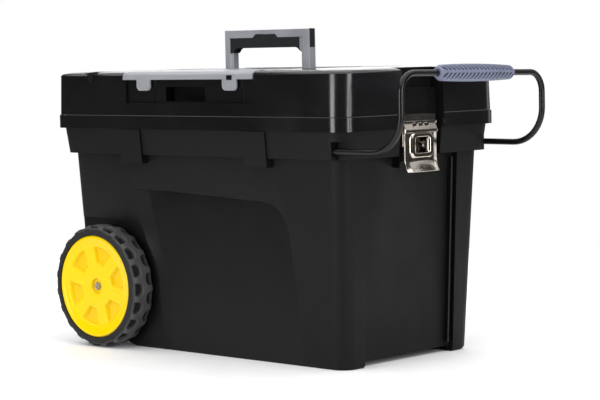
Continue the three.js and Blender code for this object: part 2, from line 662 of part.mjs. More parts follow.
function pullPath() {
  const at = (x, y, z) => new THREE.Vector3(x, y, z);
  const path = new THREE.CurvePath();
  const side = (s) => ({
    end: at(WIRE_END, s * WIRE_Y, WIRE_Z),
    lowA: at(WIRE_OUT - BEND_LOW, s * WIRE_Y, WIRE_Z),
    lowC: at(WIRE_OUT, s * WIRE_Y, WIRE_Z),
    lowB: at(WIRE_OUT, s * WIRE_Y, WIRE_Z + BEND_LOW),
    topA: at(WIRE_OUT, s * WIRE_Y, WIRE_TOP - BEND_TOP),
    topC: at(WIRE_OUT, s * WIRE_Y, WIRE_TOP),
    topB: at(WIRE_OUT, s * (WIRE_Y - BEND_TOP), WIRE_TOP),
  });
  const a = side(-1);
  const b = side(1);
  path.add(new THREE.LineCurve3(a.end, a.lowA));
  path.add(quarter(a.lowA, a.lowC, a.lowB));
  path.add(new THREE.LineCurve3(a.lowB, a.topA));
  path.add(quarter(a.topA, a.topC, a.topB));
  path.add(new THREE.LineCurve3(a.topB, b.topB));
  path.add(quarter(b.topB, b.topC, b.topA));
  path.add(new THREE.LineCurve3(b.topA, b.lowB));
  path.add(quarter(b.lowB, b.lowC, b.lowA));
  path.add(new THREE.LineCurve3(b.lowA, b.end));
  return path;
}

function circle(radius, sides) {
  const points = [];
  for (let i = 0; i < sides; i += 1) {
    const a = (i / sides) * Math.PI * 2;
    points.push([radius * Math.cos(a), radius * Math.sin(a)]);
  }
  return outline(points);
}

place('pull_wire', solid(new THREE.ExtrudeGeometry(circle(WIRE_R, 8), {
  extrudePath: pullPath(), steps: 84, bevelEnabled: false,
})), blackWire);

function pullGrip() {
  const bore = WIRE_R + GAP;
  const points = [[bore, -GRIP_HALF], [9, -GRIP_HALF], [9.8, -GRIP_HALF + 10]];
  for (let i = 0; i <= 8; i += 1) {
    const t = i / 4 - 1;
    points.push([13 - 2 * t * t, t * (GRIP_HALF - 14)]);
  }
  points.push([9.8, GRIP_HALF - 10], [9, GRIP_HALF], [bore, GRIP_HALF], [bore, -GRIP_HALF]);
  const geometry = new THREE.LatheGeometry(points.map(([r, y]) => new THREE.Vector2(r, y)), 14);
  geometry.translate(WIRE_OUT, GRIP_MID_Y, WIRE_TOP);
  return solid(geometry);
}

place('pull_grip', pullGrip(), blueGrip);
for (const sign of [-1, 1]) {
  // Stop collar on the inner end of each arm: it meets the end web when the handle is out.
  const collar = barX(sign * WIRE_Y, WIRE_Z, WIRE_R + 0.1, WIRE_END - 8, WIRE_END - GAP, 12);
  place(`arm_stop_${sideName(sign)}`, collar, steel);
}

// ---------- latch ----------
const SHEET = 1.6;
const FACE_X = 298.4;               // inner face of the lever's front sheet
const LEVER_HALF = 36;
const LEVER_TOP = 330.5;
const LEVER_EAR = LEVER_HALF - SHEET;
const BASE_EAR = LEVER_EAR - 0.9;   // outer face of the base's ears, inside the lever's
const CLAW_ARM = LEVER_HALF + 0.8;  // inner face of the claw's arms, outside the lever's
const PIVOT_X = 294.6;
const PIVOT_Z = 327;
const CLAW_X = 295.4;
const CLAW_Z = 315;
const STAPLE_Z = 314.3;
const PLATE_X = LATCH_WALL + GAP;   // back of the sheets riveted to the recess wall
const EAR_R = 3.4;
const RIVETS = [-18, 18];

// A pin, bore or eye along Y, centred on a joint of the latch, on one side of the middle plane.
function eye(sign, x, z, radius, inner, outer) {
  return barY(x, z, radius, Math.min(sign * inner, sign * outer), Math.max(sign * inner, sign * outer));
}

function latchBase() {
  const plate = box(PLATE_X, PLATE_X + 2, -BASE_EAR - 0.5, BASE_EAR + 0.5, 290, 334);
  const ears = both((sign) => union([
    sideBox(sign, PLATE_X + 1, PIVOT_X, BASE_EAR - SHEET, BASE_EAR, PIVOT_Z - EAR_R, PIVOT_Z + EAR_R),
    eye(sign, PIVOT_X, PIVOT_Z, EAR_R, BASE_EAR - SHEET, BASE_EAR),
  ]));
  return cut(union([plate, ...ears]), [
    barY(PIVOT_X, PIVOT_Z, 2 + GAP, -40, 40), ...RIVETS.map((y) => barX(y, 298, 2 + GAP, 280, 300)),
    barX(0, STAPLE_Z, 3 + GAP, 280, 300),
  ]);
}

place('latch_base', latchBase(), nickel);
place('latch_pivot_pin', barY(PIVOT_X, PIVOT_Z, 2, -LEVER_HALF - 0.4, LEVER_HALF + 0.4, 16), steel);

// Pan-headed rivet along X, seated on a sheet whose face is at faceX.
function rivet(y, z, faceX) {
  return union([
    barX(y, z, 2, LATCH_WALL + 0.1, faceX + 1), barX(y, z, 3.8, faceX + GAP, faceX + 1.6),
  ]);
}

RIVETS.forEach((y, i) => {
  place(`latch_rivet_${i + 1}`, rivet(y, 298, PLATE_X + 2), steel);
});

place('padlock_staple', union([
  barX(0, STAPLE_Z, 3, LATCH_WALL + 0.1, 306), barX(0, STAPLE_Z, 6, 303, 305),
]), nickel);

// Pressed lever: a flat sheet with ears, a raised frame round its opening and a curled lower lip.
function latchLever() {
  const front = FACE_X + SHEET;
  const face = box(FACE_X, front, -LEVER_HALF, LEVER_HALF, 288, LEVER_TOP);
  const lip = prismY([
    [FACE_X, 288.5], [FACE_X + 1.2, 281], [FACE_X + 5, 275.5], [FACE_X + 6.2, 276.6],
    [FACE_X + 2.8, 281.8], [front, 288.5],
  ], -LEVER_HALF, LEVER_HALF);
  const ears = both((sign) => sideBox(sign, PIVOT_X - 3, FACE_X + 0.5, LEVER_EAR, LEVER_HALF, 309,
    LEVER_TOP - 0.5));
  const frame = box(front - 0.6, front + 2.6, -23.5, 23.5, 296, LEVER_TOP - 0.5);
  return cut(union([face, lip, ...ears, frame]), [
    box(290, 315, -13, 13, 302, 325),
    barY(PIVOT_X, PIVOT_Z, 2 + GAP, -40, 40), barY(CLAW_X, CLAW_Z, 1.5 + GAP, -40, 40),
  ]);
}

function latchClaw() {
  const half = CLAW_ARM + SHEET;
  const plate = box(FACE_X - 0.1, FACE_X + 1.5, -half, half, 331.8, 348);
  const arms = both((sign) => union([
    sideBox(sign, CLAW_X - 3, FACE_X + 1.5, CLAW_ARM, half, CLAW_Z, 348),
    eye(sign, CLAW_X, CLAW_Z, 3, CLAW_ARM, half),
  ]));
  const slots = [-16, 0, 16].map((y) => box(290, 310, y - 4, y + 4, 338, 341.5));
  return cut(union([plate, ...arms]), [barY(CLAW_X, CLAW_Z, 1.5 + GAP, -45, 45), ...slots]);
}

place('latch_lever', latchLever(), nickel);
place('latch_claw', latchClaw(), nickel);
for (const sign of [-1, 1]) {
  place(`claw_pin_${sideName(sign)}`,
    eye(sign, CLAW_X, CLAW_Z, 1.5, LEVER_EAR - GAP, CLAW_ARM + SHEET + 0.7), steel);
}

// Strike on the lid: a channel open below, whose front lip the claw bears against.
function strikePlate() {
  const lipX = FACE_X - 2.5;
  const half = LEVER_HALF;
  const back = box(PLATE_X, PLATE_X + SHEET, -half, half, 340, 357.5);
  const top = box(PLATE_X, lipX + SHEET, -half, half, 356, 357.5);
  const front = box(lipX, lipX + SHEET, -half, half, 344, 357.5);
  const holes = RIVETS.map((y) => barX(y, 348, 2 + GAP, 280, PLATE_X + 4));
  return cut(union([back, top, front]), holes);
}

place('strike_plate', strikePlate(), nickel);
RIVETS.forEach((y, i) => {
  place(`strike_rivet_${i + 1}`, rivet(y, 348, PLATE_X + SHEET), steel);
});

export default group;
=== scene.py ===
"""The looks of a wheeled carpenter's toolbox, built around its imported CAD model.

Most numbers are millimetres on the box's own grid: X from the middle of the lid towards the latch,
Y from the middle plane towards the far side, Z up from the ground. at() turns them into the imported
model's frame, in metres.
"""

import json
import math

import bmesh
import bpy
from mathutils import Matrix, Vector

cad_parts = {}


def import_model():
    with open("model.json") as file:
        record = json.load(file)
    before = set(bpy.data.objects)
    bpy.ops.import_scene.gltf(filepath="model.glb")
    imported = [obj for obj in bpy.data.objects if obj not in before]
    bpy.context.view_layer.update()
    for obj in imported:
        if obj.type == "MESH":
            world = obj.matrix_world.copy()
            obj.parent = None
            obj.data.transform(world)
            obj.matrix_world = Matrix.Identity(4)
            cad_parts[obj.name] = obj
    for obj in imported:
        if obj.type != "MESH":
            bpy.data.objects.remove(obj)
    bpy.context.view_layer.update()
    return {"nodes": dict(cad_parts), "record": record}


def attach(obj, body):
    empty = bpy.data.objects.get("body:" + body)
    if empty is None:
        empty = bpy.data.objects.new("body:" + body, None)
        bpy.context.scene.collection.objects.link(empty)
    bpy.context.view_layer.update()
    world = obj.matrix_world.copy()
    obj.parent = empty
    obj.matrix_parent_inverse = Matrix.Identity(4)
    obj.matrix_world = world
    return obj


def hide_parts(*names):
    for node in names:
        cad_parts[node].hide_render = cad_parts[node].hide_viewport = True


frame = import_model()
NODES = frame["nodes"]
BODIES = frame["record"]["behaviour"]["bodies"]
SLOTS = {part["node"]: part["material_slot"] for part in frame["record"]["subparts"]}
BODY_OF = {node: body for body, members in BODIES.items() for node in members}

MM = 0.001
GRID_X = 45.0               # the grid's X zero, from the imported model's origin

# ---------- dimensions shared with the CAD model ----------
AXLE_X, AXLE_Z = -205.0, 94.5
TYRE_R, TYRE_SEAT = 94.5, 79.3
WHEEL_OUT, WHEEL_IN = 187.5, 145.5
WIRE_R, WIRE_Y, WIRE_Z, WIRE_TOP = 4.5, 159.3, 311.0, 415.6
WIRE_OUT, WIRE_END, BEND_LOW, BEND_TOP = 397.0, 60.0, 52.0, 28.0
CARRY_MID, CARRY_HALF, CARRY_TOP, CARRY_LEG, CARRY_HALF_T = 2.0, 89.0, 484.5, 15.0, 7.0
CARRY_PIVOT_Z = 416.5
COVER_MID, COVER_HALF, COVER_EDGE, COVER_AXIS_Y, COVER_AXIS_Z = -5.0, 137.0, 172.8, 79.0, 424.2
DECK_Z = 425.0
LEVER_X, LEVER_HALF = 298.4, 36.0
SHEET = 1.6                 # the latch's sheet metal


def at(x, y, z):
    return Vector(((x - GRID_X) * MM, y * MM, z * MM))


def smooth(low, high, value):
    """0 at low, 1 at high, an even ramp between them and flat beyond. Either may be the larger."""
    t = min(max((value - low) / (high - low), 0.0), 1.0)
    return t * t * (3 - 2 * t)


def side_name(sign):
    return "near" if sign < 0 else "far"


# ---------- materials ----------
NOISE_RANGE = (0.35, 0.65)      # a noise texture stays near its middle
BROAD_DETAIL, FINE_DETAIL = 3.0, 2.0


def new_material(name):
    material = bpy.data.materials.new(name)
    material.use_nodes = True
    nodes = material.node_tree.nodes
    shader = nodes["Principled BSDF"]
    return material, nodes, material.node_tree.links, shader


def noise(nodes, links, place, scale, detail):
    texture = nodes.new("ShaderNodeTexNoise")
    texture.inputs["Scale"].default_value = scale
    texture.inputs["Detail"].default_value = detail
    links.new(place.outputs["Object"], texture.inputs["Vector"])
    return texture


def remap(nodes, links, texture, low, high):
    """Spreads a noise over low to high."""
    ramp = nodes.new("ShaderNodeMapRange")
    ramp.inputs["From Min"].default_value = NOISE_RANGE[0]
    ramp.inputs["From Max"].default_value = NOISE_RANGE[1]
    ramp.inputs["To Min"].default_value = low
    ramp.inputs["To Max"].default_value = high
    links.new(texture.outputs["Fac"], ramp.inputs["Value"])
    return ramp.outputs["Result"]


def tinted(nodes, links, texture, first, second):
    """A colour that drifts between two, in the patches of a noise."""
    tint = nodes.new("ShaderNodeMix")
    tint.data_type = "RGBA"
    tint.inputs["A"].default_value = [*first, 1]
    tint.inputs["B"].default_value = [*second, 1]
    links.new(remap(nodes, links, texture, 0, 1), tint.inputs["Factor"])
    return tint.outputs["Result"]


def add_grain(nodes, links, texture, depth, shader):
    bump = nodes.new("ShaderNodeBump")
    bump.inputs["Distance"].default_value = depth
    links.new(texture.outputs["Fac"], bump.inputs["Height"])
    links.new(bump.outputs["Normal"], shader.inputs["Normal"])


def finish(name, colour, roughness, grain, depth, metallic=0.0, mottle=0.12, spread=0.08,
           patch=14.0, specular=0.5, dark=None, stretch=None):
    """A moulded or plated surface: colour in soft patches, uneven gloss and a fine grain.

    grain and patch are frequencies per metre, depth is the grain's height in metres, and mottle and
    spread are how far colour and roughness drift. dark is the colour that shows where the mesh's
    "depth" attribute is 1: painted shade in the tyres' notches and side walls, the hubs' pockets and
    dish, the claw's slots and the tops of the tub's panels, and darker bottoms to the pull grip's
    slots.
    stretch squeezes the grain into brushed lines.
    """
    material, nodes, links, shader = new_material(name)
    place = nodes.new("ShaderNodeTexCoord")
    broad = noise(nodes, links, place, patch, BROAD_DETAIL)
    fine = noise(nodes, links, place, grain, FINE_DETAIL)
    if stretch:
        mapping = nodes.new("ShaderNodeMapping")
        mapping.inputs["Scale"].default_value = stretch
        links.new(place.outputs["Object"], mapping.inputs["Vector"])
        links.new(mapping.outputs["Vector"], fine.inputs["Vector"])
    base = tinted(nodes, links, broad, [c * (1 - mottle) for c in colour],
                  [min(c * (1 + mottle), 1) for c in colour])
    if dark:
        dark_share = nodes.new("ShaderNodeAttribute")
        dark_share.attribute_name = "depth"
        deep = nodes.new("ShaderNodeMix")
        deep.data_type = "RGBA"
        deep.inputs["B"].default_value = [*dark, 1]
        links.new(dark_share.outputs["Fac"], deep.inputs["Factor"])
        links.new(base, deep.inputs["A"])
        base = deep.outputs["Result"]
    links.new(base, shader.inputs["Base Color"])
    links.new(remap(nodes, links, broad, roughness - spread, roughness + spread),
              shader.inputs["Roughness"])
    add_grain(nodes, links, fine, depth, shader)
    shader.inputs["Metallic"].default_value = metallic
    shader.inputs["Specular IOR Level"].default_value = specular
    return material


LOOKS = {
    "tub_plastic": dict(colour=(0.0038, 0.0039, 0.0043), roughness=0.5, grain=1900, depth=0.00022,
                        specular=0.15),
    # painted light and shade on the side panels' floors: lighter low down, darker towards the top
    "tub_panel_painted_shade": dict(colour=(0.0090, 0.0092, 0.0098), roughness=0.55, grain=1900, depth=0.00022,
                      specular=0.12, dark=(0.0018, 0.0018, 0.0022)),
    "tub_edge": dict(colour=(0.012, 0.0122, 0.013), roughness=0.42, grain=1900, depth=0.0001,
                     specular=0.4),
    "lid_plastic": dict(colour=(0.0058, 0.0058, 0.0062), roughness=0.2, grain=1500, depth=0.00002,
                        spread=0.03, specular=0.45),
    # painted shade: a darker, flatter copy of the lid plastic for the insides of its hollows
    "lid_hollow_painted_shade": dict(colour=(0.0015, 0.0015, 0.0017), roughness=0.5, grain=1500, depth=0.00002,
                       specular=0.1),
    # painted shade: the lid's rounded edges are darker than the lid
    "lid_edge_painted_shade": dict(colour=(0.0035, 0.0035, 0.0039), roughness=0.34, grain=1500, depth=0.00004,
                     specular=0.25),
    "grey_plastic": dict(colour=(0.305, 0.315, 0.345), roughness=0.45, grain=1800, depth=0.0001),
    "grey_edge": dict(colour=(0.40, 0.41, 0.44), roughness=0.38, grain=1800, depth=0.00006),
    "carry_grip": dict(colour=(0.0125, 0.0135, 0.0155), roughness=0.62, grain=1500, depth=0.0002,
                       specular=0.25),
    "wire": dict(colour=(0.004, 0.004, 0.004), roughness=0.3, grain=900, depth=0.00004,
                 spread=0.05, specular=0.32),
    "pull_grip": dict(colour=(0.155, 0.173, 0.262), roughness=0.55, grain=2200, depth=0.00012,
                      dark=(0.019, 0.021, 0.046)),
    # the dark colour paints shade in the hub's pockets and around the axle
    "wheel_yellow": dict(colour=(0.81, 0.55, 0.0), roughness=0.26, grain=300, depth=0.00005,
                         mottle=0.02, specular=0.22, dark=(0.78, 0.505, 0.0)),
    # the dark colour paints shade in the tread's notches and on the side walls
    "tyre": dict(colour=(0.062, 0.062, 0.065), roughness=0.66, grain=1200, depth=0.0003,
                 mottle=0.2, specular=0.3, dark=(0.0045, 0.0045, 0.005)),
    # the dark colour paints shade in the claw's slots
    "nickel": dict(colour=(0.72, 0.665, 0.59), roughness=0.13, grain=240, depth=0.00006,
                   metallic=1.0, mottle=0.06, spread=0.04, patch=60, stretch=(1, 6, 1),
                   dark=(0.10, 0.085, 0.07)),
    # painted shade: a darker copy of the metal for the latch's base plate, which shows through the
    # lever's opening
    "shaded_base": dict(colour=(0.10, 0.09, 0.08), roughness=0.3, grain=900, depth=0.00005,
                        metallic=1.0),
    # painted shade: a darker copy of the metal for the axle cap, like the shade in the dish around the
    # axle
    "shaded_cap": dict(colour=(0.30, 0.25, 0.20), roughness=0.3, grain=900, depth=0.00005,
                     metallic=1.0),
    "steel": dict(colour=(0.46, 0.47, 0.49), roughness=0.34, grain=900, depth=0.00005,
                  metallic=1.0, mottle=0.08),
}
EDGES = {"tub_plastic": "tub_edge", "lid_plastic": "lid_edge_painted_shade", "grey_plastic": "grey_edge"}

CLOUD_PATCH, CLOUD_GRAIN, CLOUD_DEPTH = 12, 1400, 0.00012
CLOUD_ROUGHNESS = (0.27, 0.33)
CLOUD_DARK, CLOUD_LIGHT = (0.50, 0.515, 0.55), (0.54, 0.555, 0.585)
CLOUD_CLEAR = 0.55          # share of the light that passes through
CLOUD_IOR = 1.3


def cloudy_plastic():
    """Frosted clear plastic: light passes, shapes behind blur, and moulding streaks show."""
    material, nodes, links, shader = new_material("clear_cover")
    place = nodes.new("ShaderNodeTexCoord")
    broad = noise(nodes, links, place, CLOUD_PATCH, BROAD_DETAIL)
    fine = noise(nodes, links, place, CLOUD_GRAIN, FINE_DETAIL)
    links.new(remap(nodes, links, broad, *CLOUD_ROUGHNESS), shader.inputs["Roughness"])
    links.new(tinted(nodes, links, broad, CLOUD_DARK, CLOUD_LIGHT), shader.inputs["Base Color"])
    add_grain(nodes, links, fine, CLOUD_DEPTH, shader)
    shader.inputs["Transmission Weight"].default_value = CLOUD_CLEAR
    shader.inputs["IOR"].default_value = CLOUD_IOR
    return material


materials = {name: finish(name, **look) for name, look in LOOKS.items()}
materials["clear_cover"] = cloudy_plastic()

# ---------- mesh tools ----------
CREASE = 32.0               # degrees: edges that bend more than this are sharp
EDGE_SLOT, EXTRA_SLOT = 1, 2    # material slots after the piece's own
WELD = 0.00001              # metres
FLAT = 0.3                  # degrees between faces that count as one


def add_piece(name, bm, body, slot, replaced=(), crease=CREASE):
    bmesh.ops.recalc_face_normals(bm, faces=bm.faces)
    mesh = bpy.data.meshes.new(name)
    bm.to_mesh(mesh)
    bm.free()
    mesh.materials.append(materials[slot])
    mesh.materials.append(materials[EDGES.get(slot, slot)])
    mesh.shade_smooth()
    mesh.set_sharp_from_angle(angle=math.radians(crease))
    piece = bpy.data.objects.new(name, mesh)
    bpy.context.scene.collection.objects.link(piece)
    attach(piece, body)
    if replaced:
        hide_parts(*replaced)
    return piece


def round_edges(piece, width, segments=2, angle=CREASE):
    """Rounds the sharp edges, which take the edge material: lighter and glossier on the tub and grey
    frame, darker on the lid as painted shade.
    """
    bevel = piece.modifiers.new("rounded edges", "BEVEL")
    bevel.width = width * MM
    bevel.segments = segments
    bevel.limit_method = "ANGLE"
    bevel.angle_limit = math.radians(angle)
    bevel.harden_normals = True
    bevel.material = EDGE_SLOT
    return piece


def surface(bm, rows, wrap_rows=False, wrap_columns=False):
    """Joins rows of points into quads, and returns the rows of vertices."""
    verts = [[bm.verts.new(point) for point in row] for row in rows]
    count, width = len(verts), len(verts[0])
    for i in range(count if wrap_rows else count - 1):
        for j in range(width if wrap_columns else width - 1):
            a, b = verts[i], verts[(i + 1) % count]
            k = (j + 1) % width
            bm.faces.new((a[j], a[k], b[k], b[j]))
    return verts


def capped(bm, rows):
    """A closed solid: rings of points joined side by side, with a face over each end."""
    verts = surface(bm, rows, wrap_columns=True)
    bm.faces.new(verts[0])
    bm.faces.new(verts[-1])


def prism(bm, points, along):
    """A closed solid: a flat outline of points, carried along a vector."""
    capped(bm, [points, [p + along for p in points]])


def block(bm, x0, x1, y0, y1, z0, z1):
    corners = [at(x0, y0, z0), at(x1, y0, z0), at(x1, y1, z0), at(x0, y1, z0)]
    prism(bm, corners, Vector((0, 0, (z1 - z0) * MM)))


def tube(bm, path, radius, sides):
    """A round bar along a path of points, closed at both ends. The radius is in millimetres."""
    rows = []
    side = None
    for i, point in enumerate(path):
        ahead = path[min(i + 1, len(path) - 1)]
        behind = path[max(i - 1, 0)]
        along = (ahead - behind).normalized()
        if side is None:
            side = along.orthogonal().normalized()
        side = (side - along * side.dot(along)).normalized()
        other = along.cross(side)
        rows.append([
            point + (side * math.cos(a) + other * math.sin(a)) * radius * MM
            for a in (math.tau * k / sides for k in range(sides))
        ])
    capped(bm, rows)


def set_depth(mesh, depths):
    """Stores a share from 0 to 1 for each vertex for the material's dark colour, mostly painted shade:
    how deep in a groove or hollow it lies, on the tub's panels how high up.
    """
    attribute = mesh.attributes.new("depth", "FLOAT", "POINT")
    attribute.data.foreach_set("value", depths)


def from_cad(node, width, crease=CREASE):
    """The CAD solid with its flat faces cleaned up and its edges rounded."""
    bm = bmesh.new()
    bm.from_mesh(NODES[node].data)
    bmesh.ops.remove_doubles(bm, verts=bm.verts, dist=WELD)
    bmesh.ops.dissolve_limit(bm, angle_limit=math.radians(FLAT), verts=bm.verts, edges=bm.edges)
    piece = add_piece("look_" + node, bm, BODY_OF[node], SLOTS[node], (node,), crease)
    return round_edges(piece, width, angle=crease)


# ---------- tub and lid ----------
TUB_ROUND, LID_ROUND, DIVIDER_ROUND = 1.0, 1.2, 0.35
PANEL_TILT = 0.03           # the panels' floors are the least tilted of the long faces
PANEL_TURN = 0.9            # and they face sideways
PANEL_AREA = 0.004          # square metres
PANEL_TOP = 0.245           # metres
PANEL_Y = (0.137, 0.1475)   # metres


def paint_panel_shade(tub):
    """Gives the side panels' floors their own material with painted light and shade: lighter than the
    tub low down, darker towards the top.
    """
    tub.data.materials.append(materials["tub_panel_painted_shade"])
    for face in tub.data.polygons:
        corner = tub.data.vertices[face.vertices[0]].co
        upright = abs(face.normal.z) < PANEL_TILT and abs(face.normal.y) > PANEL_TURN
        if upright and face.area > PANEL_AREA and PANEL_Y[0] < abs(corner.y) < PANEL_Y[1]:
            face.material_index = EXTRA_SLOT
    # painted shade: the share of the dark colour grows with the height up the panel
    set_depth(tub.data, [vertex.co.z / PANEL_TOP for vertex in tub.data.vertices])


DECK_TILT = 0.97            # faces that look up more than this belong to the deck
HOLLOWS = (                 # ranges of X, distance from the middle plane, and Z
    ((-55.0, 31.0), (149.0, 172.0), (379.0, 402.5)),        # finger pockets
    ((-236.0, -199.0), (-1.0, 185.0), (404.0, 426.0)),      # V groove
)


def paint_hollow_shade(lid):
    """Paints shade into the finger pockets and the V groove, with a darker, flatter copy of the lid
    plastic.
    """
    lid.data.materials.append(materials["lid_hollow_painted_shade"])
    for face in lid.data.polygons:
        corners = [lid.data.vertices[index].co / MM for index in face.vertices]
        for (x0, x1), (y0, y1), (z0, z1) in HOLLOWS:
            held = all(x0 < c.x + GRID_X < x1 and y0 < abs(c.y) < y1 and z0 < c.z < z1
                       for c in corners)
            if held and face.normal.z < DECK_TILT:
                face.material_index = EXTRA_SLOT


RIB_BACK, RIB_FRONT = 262.6, 270.4      # X at ground level
RIB_Y = (89.0, 92.5)
RIB_LOW, RIB_HIGH = 14.0, 292.0
WALL_LEAN = 0.046                       # the end wall's X gains this much per height
RIB_ROUND = 0.8


def end_rib():
    """Upright rib beside the far corner post of the latch end."""
    bm = bmesh.new()
    back = [at(RIB_BACK + RIB_LOW * WALL_LEAN, y, RIB_LOW) for y in RIB_Y]
    front = [at(RIB_FRONT + RIB_LOW * WALL_LEAN, y, RIB_LOW) for y in reversed(RIB_Y)]
    rise = RIB_HIGH - RIB_LOW
    prism(bm, back + front, Vector((rise * WALL_LEAN * MM, 0, rise * MM)))
    round_edges(add_piece("end_rib", bm, "tub", "tub_plastic"), RIB_ROUND)


paint_panel_shade(from_cad("tub_shell", TUB_ROUND))
paint_hollow_shade(from_cad("lid_shell", LID_ROUND))
for row in ("near", "far"):
    for number in (1, 2):
        from_cad(f"bin_divider_{row}_{number}", DIVIDER_ROUND)
end_rib()


# ---------- wheels ----------
TYRE_AROUND, TYRE_ACROSS = 400, 56      # quads
TYRE_EVEN = 0.92                        # spreads the quads more evenly over the tread
TYRE_FLAT, TYRE_TURN = 5, 0.4           # powers that shape the flat tread and round shoulders
TREAD_COUNT = 20
TREAD_DEPTH = 6.0
WALL_PAINTED_SHADE = 0.92                       # painted shade: the side walls are darker than the tread's tops
WALL_DROP = (3.0, 6.5)                  # the walls' painted shade comes in over this drop from the tread
FLOOR_DROP = (7.0, 5.0)                 # the painted shade in the notches goes out over this drop
NOTCH_MID, NOTCH_WIDE, NOTCH_LONG = 13.5, 10.5, 10.2     # across the tyre, and along it
NOTCH_POWER, NOTCH_EDGE = 2.4, 0.84     # how square the notches are, and where their walls start
SHOULDER = (12.0, 18.0)
SHOULDER_FADE = 0.66                    # the notches lose this share of their depth there
SHARP_TURN = 50.0                       # degrees: the crease of the turned pieces


def on_wheel(radius, angle, out):
    """A point at a radius and angle about the axle, and a distance out from the middle plane."""
    return at(AXLE_X + radius * math.cos(angle), out, AXLE_Z + radius * math.sin(angle))


def tread_notch(angle, across):
    """Share of the full depth, at an angle about the axle and a distance from the tyre's middle.

    The notches alternate from side to side and run out through the shoulders.
    """
    pitch = math.tau / TREAD_COUNT
    shift = 0.5 if across > 0 else 0.0
    step = (angle / pitch + shift) % 1.0 - 0.5
    along = abs(step) * pitch * TYRE_R / NOTCH_LONG
    over = max(NOTCH_MID - abs(across), 0.0) / NOTCH_WIDE
    reach = (along ** NOTCH_POWER + over ** NOTCH_POWER) ** (1 / NOTCH_POWER)
    return (1 - smooth(NOTCH_EDGE, 1.0, reach)) * (1 - SHOULDER_FADE * smooth(*SHOULDER, abs(across)))


def tyre(sign):
    bm = bmesh.new()
    half = (WHEEL_OUT - WHEEL_IN) / 2
    middle = (WHEEL_OUT + WHEEL_IN) / 2
    rows, depths = [], []
    for i in range(TYRE_AROUND):
        angle = math.tau * i / TYRE_AROUND
        row = []
        for j in range(TYRE_ACROSS + 1):
            share = math.sin((j / TYRE_ACROSS - 0.5) * math.pi)
            share = math.copysign(abs(share) ** TYRE_EVEN, share)
            across = half * share
            rise = (1 - abs(share) ** TYRE_FLAT) ** TYRE_TURN
            full = TYRE_SEAT + (TYRE_R - TYRE_SEAT) * rise
            notch = tread_notch(angle, across)
            row.append(on_wheel(full - TREAD_DEPTH * notch * rise, angle, sign * (middle + across)))
            drop = TYRE_R - full
            # painted shade: dark on the notches' floors and on the side walls
            depths.append(max(notch * smooth(*FLOOR_DROP, drop), WALL_PAINTED_SHADE * smooth(*WALL_DROP, drop)))
        rows.append(row)
    surface(bm, rows, wrap_rows=True, wrap_columns=True)
    name = side_name(sign)
    piece = add_piece("tread_tyre_" + name, bm, "wheel_" + name, "tyre", ("tyre_" + name,), SHARP_TURN)
    set_depth(piece.data, depths)


# Profiles of the hub, as radius and distance from the middle plane.
HUB_FACE = ((79.0, 184.0), (78.4, 185.4), (76.8, 186.4), (74.6, 186.6), (72.4, 186.0), (70.0, 184.9),
            (66.0, 184.1), (60.0, 183.4), (40.0, 182.8), (20.0, 182.4), (14.5, 182.3), (12.4, 181.9),
            (11.2, 180.6), (10.6, 178.3))
HUB_BACK = ((5.3, 178.3), (5.3, 146.5), (15.0, 146.5), (17.0, 168.0), (70.0, 168.0), (71.0, 146.5),
            (79.0, 146.5))
HUB_AROUND, HUB_STEP = 240, 1.3
DISH = (11.5, 14.0)                     # radii between which the painted shade of the dish around the axle fades out
POCKETS = 6
POCKET_DEEP = 7.0
POCKET_TURN = math.radians(15)
POCKET_MID, POCKET_LONG = 48.0, 15.0    # the pockets' middle radius, and half their length
POCKET_WIDE, POCKET_FLARE = 8.5, 0.48   # half width at the inner end, and its growth outwards
POCKET_R, POCKET_INSET = 5.5, 5.0       # their rounded corners
POCKET_SLOPE = 6.5


def hub_pocket(radius, angle):
    """Depth of the rounded pockets in the hub's face."""
    pitch = math.tau / POCKETS
    step = ((angle - POCKET_TURN) / pitch + 0.5) % 1.0 - 0.5
    around = abs(step) * pitch * radius
    away = abs(radius - POCKET_MID)
    half = POCKET_WIDE + (radius - POCKET_MID + POCKET_LONG) * POCKET_FLARE
    inside = -max(away - POCKET_LONG, around - half)
    corner = math.hypot(max(away - POCKET_LONG + POCKET_INSET, 0), max(around - half + POCKET_INSET, 0))
    return POCKET_DEEP * smooth(0.0, POCKET_SLOPE, min(inside, POCKET_R - corner))


def fill(profile, step):
    """The same profile with points added so that none is further than step from the next."""
    points = [profile[0]]
    for (r0, o0), (r1, o1) in zip(profile, profile[1:]):
        count = max(1, math.ceil(math.hypot(r1 - r0, o1 - o0) / step))
        points += [(r0 + (r1 - r0) * k / count, o0 + (o1 - o0) * k / count)
                   for k in range(1, count + 1)]
    return points


def hub(sign):
    bm = bmesh.new()
    face = fill(HUB_FACE, HUB_STEP)
    dish = [1 - smooth(*DISH, radius) for radius, out in face]
    rows, depths = [], []
    for i in range(HUB_AROUND):
        angle = math.tau * i / HUB_AROUND
        pockets = [hub_pocket(radius, angle) for radius, out in face]
        row = [(radius, out - pocket) for (radius, out), pocket in zip(face, pockets)]
        row += HUB_BACK
        # painted shade: darker in the pockets and in the dish around the axle
        depths += [max(pocket / POCKET_DEEP, ring) for pocket, ring in zip(pockets, dish)]
        depths += [0.0] * len(HUB_BACK)
        rows.append([on_wheel(radius, angle, sign * out) for radius, out in row])
    surface(bm, rows, wrap_rows=True, wrap_columns=True)
    name = side_name(sign)
    piece = add_piece("moulded_hub_" + name, bm, "wheel_" + name, "wheel_yellow",
                      ("wheel_hub_" + name,), SHARP_TURN)
    set_depth(piece.data, depths)


# Profile of the push-on cap, as radius and distance from the middle plane.
CAP_PROFILE = ((0.01, 185.0), (1.6, 184.6), (2.8, 183.7), (3.5, 182.4), (3.9, 180.8), (5.8, 180.0),
               (6.3, 179.4), (6.3, 178.6), (5.4, 178.6), (5.4, 180.0), (0.01, 180.0))
CAP_AROUND = 48


